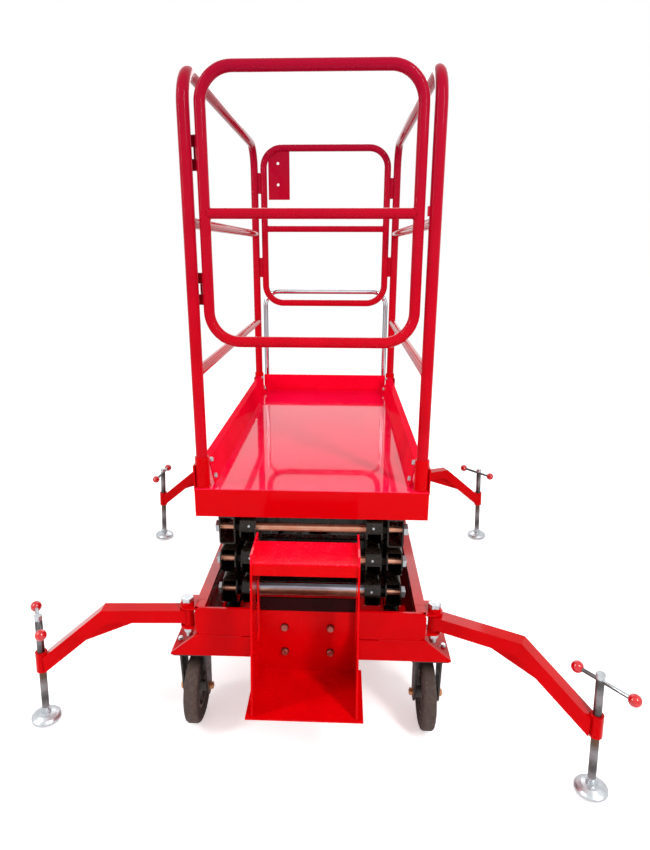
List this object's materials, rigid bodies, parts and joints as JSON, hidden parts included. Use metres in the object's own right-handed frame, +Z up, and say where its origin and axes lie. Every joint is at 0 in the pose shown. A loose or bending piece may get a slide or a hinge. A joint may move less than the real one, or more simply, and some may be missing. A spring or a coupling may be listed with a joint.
{
  "type": "scissor lift",
  "caption": "Small push-around scissor lift, folded, with a railed platform, crossed black arms, casters, swing-out screw-jack outriggers and an entry step.",
  "frame": {"origin": "on the floor under the middle of the whole footprint", "axes": "+Z up, -Y to the entry gate and step, +Y to the push handle, +X to the right of someone facing +Y"},
  "size_m": [1.5714, 1.6234, 1.726],
  "materials": {
    "red_enamel": "gloss",
    "black_enamel": "gloss",
    "steel": "turned",
    "zinc": "zinc plated",
    "chrome": "polished",
    "rubber": "matt",
    "hub_grey": "satin",
    "knob_red": "gloss"
  },
  "bodies": {
    "chassis": {"side_rails": "red_enamel", "end_beams": "red_enamel", "cross_members": "red_enamel", "belly_sheets": "black_enamel", "cylinder_foot_pin": "steel", "caster_decks": "red_enamel", "base_pivots": "red_enamel", "outrigger_lugs": "red_enamel", "outrigger_pivots": "zinc", "step_bracket": "red_enamel", "push_handle": "chrome", "power_unit": "black_enamel", "front_forks": "black_enamel", "swivel_plates": "black_enamel"},
    "platform": {"deck_tray": "red_enamel", "toe_boards": "red_enamel", "post_sockets": "red_enamel", "left_guard": "red_enamel", "right_guard": "red_enamel", "rear_gate": "red_enamel", "platform_brackets": "black_enamel"},
    "entry_gate": {"front_gate": "red_enamel"},
    "barrel": {"lift_barrel": "black_enamel"},
    "rod": {"lift_rod": "chrome"},
    "front_left_wheel": {"front_left_tyre": "rubber", "front_left_hub": "hub_grey"},
    "rear_left_swivel": {"rear_left_fork": "black_enamel"},
    "rear_left_wheel": {"rear_left_tyre": "rubber", "rear_left_hub": "hub_grey"},
    "front_right_wheel": {"front_right_tyre": "rubber", "front_right_hub": "hub_grey"},
    "rear_right_swivel": {"rear_right_fork": "black_enamel"},
    "rear_right_wheel": {"rear_right_tyre": "rubber", "rear_right_hub": "hub_grey"},
    "low_outer": {"low_outer_arms": "black_enamel", "low_outer_pins": "steel"},
    "low_inner": {"low_inner_arms": "black_enamel", "low_inner_pins": "steel"},
    "middle_outer": {"middle_outer_arms": "black_enamel", "middle_outer_pins": "steel"},
    "middle_inner": {"middle_inner_arms": "black_enamel", "middle_inner_pins": "steel"},
    "top_outer": {"top_outer_arms": "black_enamel", "top_outer_pins": "steel"},
    "top_inner": {"top_inner_arms": "black_enamel", "top_inner_pins": "steel"},
    "front_left_outrigger": {"front_left_arm": "red_enamel"},
    "front_left_screw_jack": {"front_left_jack": "zinc", "front_left_knobs": "knob_red"},
    "front_right_outrigger": {"front_right_arm": "red_enamel"},
    "front_right_screw_jack": {"front_right_jack": "zinc", "front_right_knobs": "knob_red"},
    "rear_left_outrigger": {"rear_left_arm": "red_enamel"},
    "rear_left_screw_jack": {"rear_left_jack": "zinc", "rear_left_knobs": "knob_red"},
    "rear_right_outrigger": {"rear_right_arm": "red_enamel"},
    "rear_right_screw_jack": {"rear_right_jack": "zinc", "rear_right_knobs": "knob_red"}
  },
  "joints": [
    {"name": "front_left_roll", "type": "hinge", "parent": "chassis", "child": "front_left_wheel", "pos_m": [-0.3086, -0.51626, 0.1], "axis": [1, 0, 0], "continuous": true},
    {"name": "rear_left_turn", "type": "hinge", "parent": "chassis", "child": "rear_left_swivel", "pos_m": [-0.3086, 0.67174, 0.22], "axis": [0, 0, 1], "continuous": true},
    {"name": "rear_left_roll", "type": "hinge", "parent": "rear_left_swivel", "child": "rear_left_wheel", "pos_m": [-0.3086, 0.71174, 0.1], "axis": [1, 0, 0], "continuous": true},
    {"name": "front_right_roll", "type": "hinge", "parent": "chassis", "child": "front_right_wheel", "pos_m": [0.3454, -0.51626, 0.1], "axis": [1, 0, 0], "continuous": true},
    {"name": "rear_right_turn", "type": "hinge", "parent": "chassis", "child": "rear_right_swivel", "pos_m": [0.3454, 0.67174, 0.22], "axis": [0, 0, 1], "continuous": true},
    {"name": "rear_right_roll", "type": "hinge", "parent": "rear_right_swivel", "child": "rear_right_wheel", "pos_m": [0.3454, 0.71174, 0.1], "axis": [1, 0, 0], "continuous": true},
    {"name": "lift", "type": "hinge", "parent": "chassis", "child": "low_outer", "pos_m": [0.0184, -0.46326, 0.292], "axis": [1, 0, 0], "range_deg": [0, 40]},
    {"name": "low_cross_pivot", "type": "hinge", "parent": "low_outer", "child": "low_inner", "pos_m": [0.0184, 0.08664, 0.34], "axis": [1, 0, 0], "range_deg": [-80, 0]},
    {"name": "middle_front_pivot", "type": "hinge", "parent": "low_inner", "child": "middle_outer", "pos_m": [0.0184, -0.46326, 0.388], "axis": [1, 0, 0], "range_deg": [0, 80]},
    {"name": "middle_cross_pivot", "type": "hinge", "parent": "middle_outer", "child": "middle_inner", "pos_m": [0.0184, 0.08664, 0.436], "axis": [1, 0, 0], "range_deg": [-80, 0]},
    {"name": "top_front_pivot", "type": "hinge", "parent": "middle_inner", "child": "top_outer", "pos_m": [0.0184, -0.46326, 0.484], "axis": [1, 0, 0], "range_deg": [0, 80]},
    {"name": "top_cross_pivot", "type": "hinge", "parent": "top_outer", "child": "top_inner", "pos_m": [0.0184, 0.08664, 0.532], "axis": [1, 0, 0], "range_deg": [-80, 0]},
    {"name": "platform_pivot", "type": "hinge", "parent": "top_inner", "child": "platform", "pos_m": [0.0184, -0.46326, 0.58], "axis": [1, 0, 0], "range_deg": [0, 40]},
    {"name": "cylinder_foot", "type": "hinge", "parent": "chassis", "child": "barrel", "pos_m": [0.0184, -0.11426, 0.262], "axis": [1, 0, 0], "range_deg": [0, 53]},
    {"name": "cylinder_stroke", "type": "slide", "parent": "barrel", "child": "rod", "axis": [0, 0.9518, 0.3066], "range_m": [0, 0.071]},
    {"name": "entry_gate_swing", "type": "hinge", "parent": "platform", "child": "entry_gate", "pos_m": [-0.2526, -0.44626, 1.3725], "axis": [0, 0, 1], "range_deg": [0, 90]},
    {"name": "front_left_swing", "type": "hinge", "parent": "chassis", "child": "front_left_outrigger", "pos_m": [-0.3156, -0.53926, 0.353], "axis": [0, 0, 1], "range_deg": [-62.5, 57.5]},
    {"name": "front_left_jack_travel", "type": "slide", "parent": "front_left_outrigger", "child": "front_left_screw_jack", "axis": [0.0523, 0.0023, 0.9986], "range_m": [-0.04, 0.1]},
    {"name": "front_right_swing", "type": "hinge", "parent": "chassis", "child": "front_right_outrigger", "pos_m": [0.3524, -0.53926, 0.353], "axis": [0, 0, -1], "range_deg": [-87, 33]},
    {"name": "front_right_jack_travel", "type": "slide", "parent": "front_right_outrigger", "child": "front_right_screw_jack", "axis": [-0.0466, 0.0238, 0.9986], "range_m": [-0.04, 0.1]},
    {"name": "rear_left_swing", "type": "hinge", "parent": "chassis", "child": "rear_left_outrigger", "pos_m": [-0.3156, 0.47674, 0.353], "axis": [0, 0, -1], "range_deg": [-74.5, 45.5]},
    {"name": "rear_left_jack_travel", "type": "slide", "parent": "rear_left_outrigger", "child": "rear_left_screw_jack", "axis": [0.0507, -0.0131, 0.9986], "range_m": [-0.04, 0.1]},
    {"name": "rear_right_swing", "type": "hinge", "parent": "chassis", "child": "rear_right_outrigger", "pos_m": [0.3524, 0.47674, 0.353], "axis": [0, 0, 1], "range_deg": [-84, 36]},
    {"name": "rear_right_jack_travel", "type": "slide", "parent": "rear_right_outrigger", "child": "rear_right_screw_jack", "axis": [-0.0478, -0.0213, 0.9986], "range_m": [-0.04, 0.1]}
  ],
  "couplings": [
    {"joint": "low_cross_pivot", "follows": "lift", "ratio": -2},
    {"joint": "middle_front_pivot", "follows": "lift", "ratio": 2},
    {"joint": "middle_cross_pivot", "follows": "lift", "ratio": -2},
    {"joint": "top_front_pivot", "follows": "lift", "ratio": 2},
    {"joint": "top_cross_pivot", "follows": "lift", "ratio": -2},
    {"joint": "platform_pivot", "follows": "lift", "ratio": 1},
    {"joint": "cylinder_foot", "follows": "lift", "ratio": 1.2936},
    {"joint": "cylinder_stroke", "follows": "lift", "m_per_rad": 0.098438}
  ]
}
